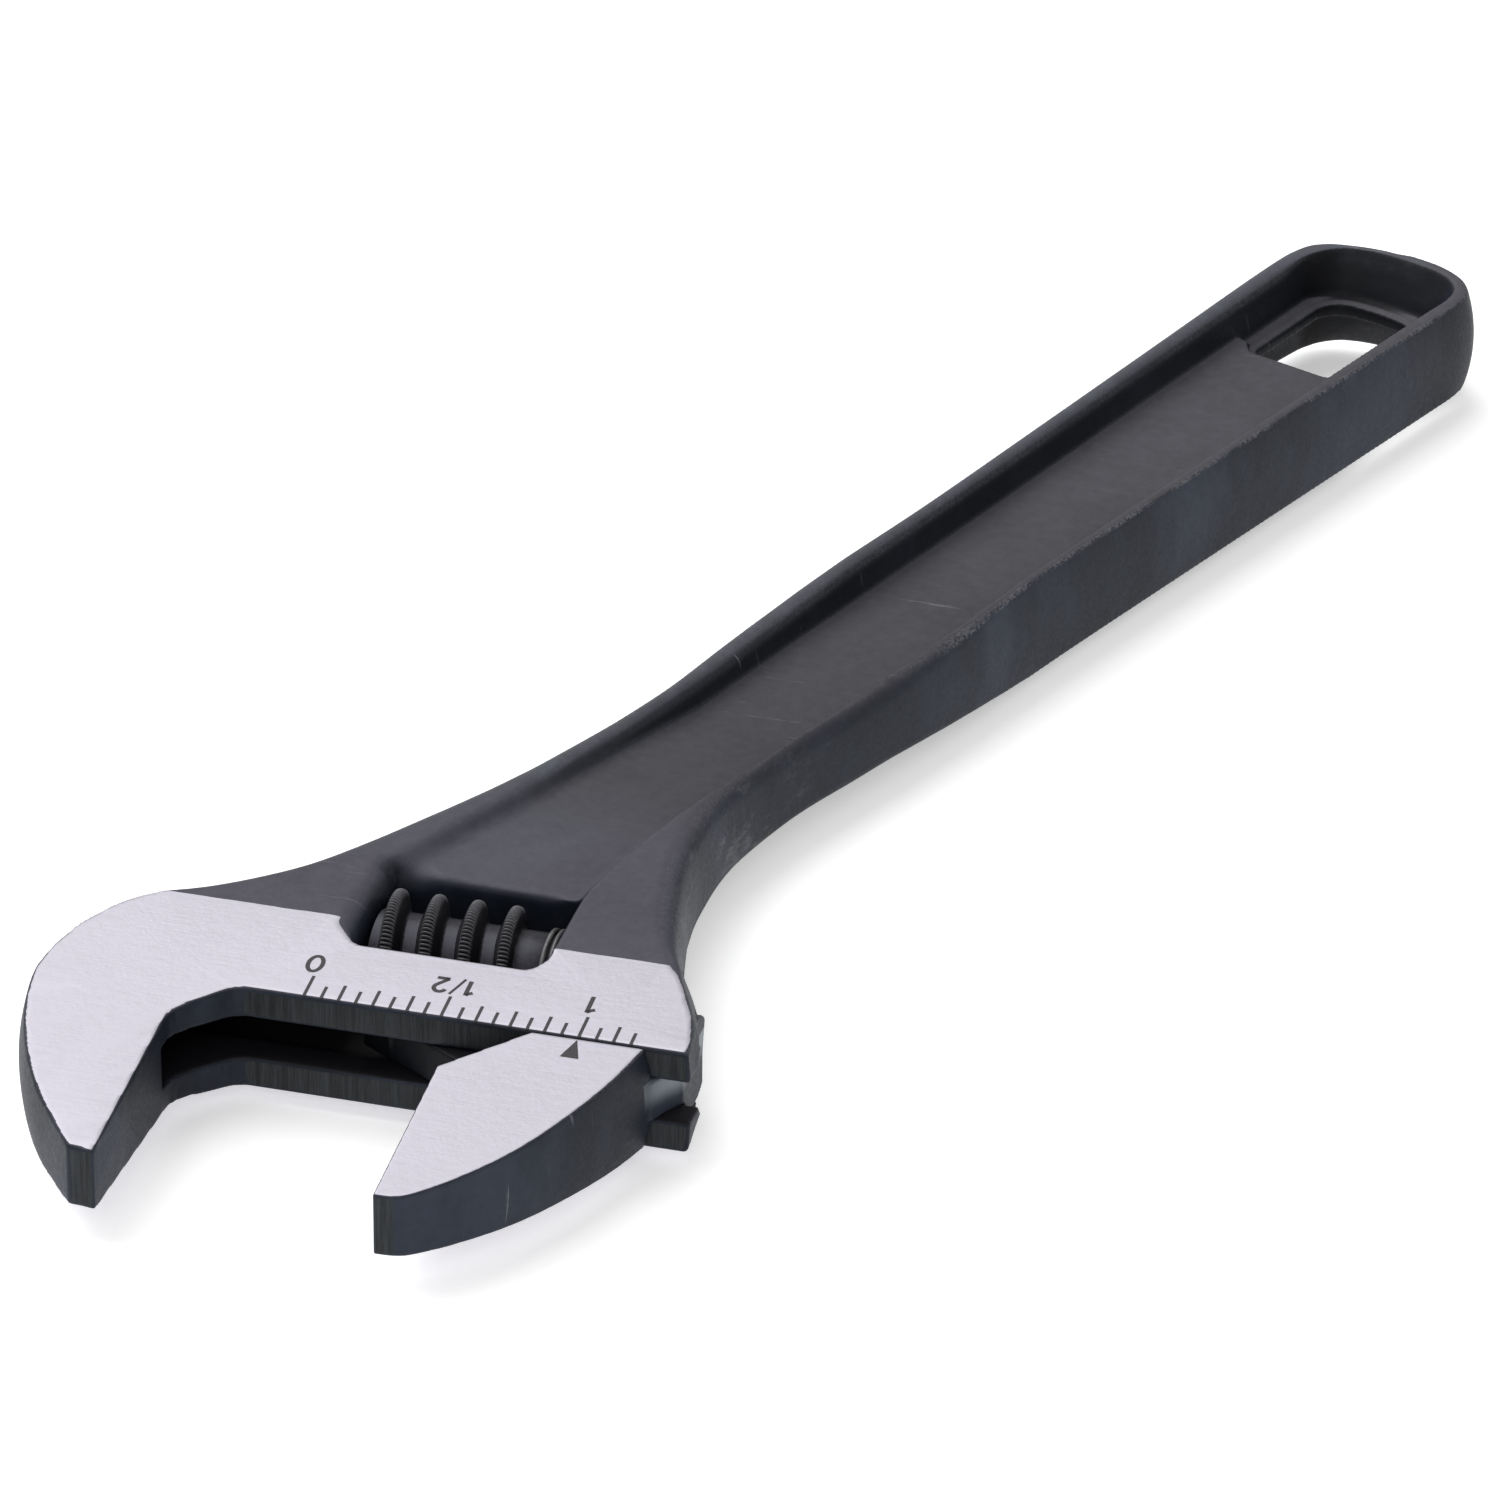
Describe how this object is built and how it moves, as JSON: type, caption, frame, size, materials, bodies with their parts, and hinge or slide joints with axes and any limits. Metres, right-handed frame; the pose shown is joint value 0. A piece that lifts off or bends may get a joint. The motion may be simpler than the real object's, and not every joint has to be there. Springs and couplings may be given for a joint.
{
  "type": "adjustable wrench",
  "caption": "Adjustable wrench with a hollow forged grip and an angled head, whose thumb-turned worm slides the toothed jaw along its guide",
  "frame": {"origin": "the middle of the flat of the fixed jaw's face, at half thickness", "axes": "+X is the way the fixed jaw's face looks and the movable jaw opens, +Y runs along the jaw from its tip towards the handle, +Z comes out of the face that carries the scale"},
  "size_m": [0.0977, 0.1946, 0.013],
  "materials": {
    "body_steel": "black phosphate over forged steel, with ground bright faces on the head",
    "jaw_steel": "black phosphate over forged steel, with ground bright faces",
    "knurl_steel": "black oxide, worn brighter on the serrated crests",
    "pin_steel": "black oxide, satin",
    "spring_steel": "drawn spring wire, satin"
  },
  "bodies": {
    "body": {"body": "body_steel", "knurl_pin": "pin_steel", "spring": "spring_steel"},
    "jaw": {"movable_jaw": "jaw_steel"},
    "knurl": {"knurl": "knurl_steel"}
  },
  "joints": [
    {"name": "knurl_spin", "type": "hinge", "parent": "body", "child": "knurl", "pos_m": [0.02, 0.0325, 0], "axis": [1, 0, 0], "range_deg": [-473.6, 2505.4]},
    {"name": "jaw_slide", "type": "slide", "parent": "body", "child": "jaw", "axis": [1, 0, 0], "range_m": [-0.0254, 0.0048]}
  ],
  "couplings": [
    {"joint": "knurl_spin", "follows": "jaw_slide", "rad_per_m": -1721.4}
  ]
}
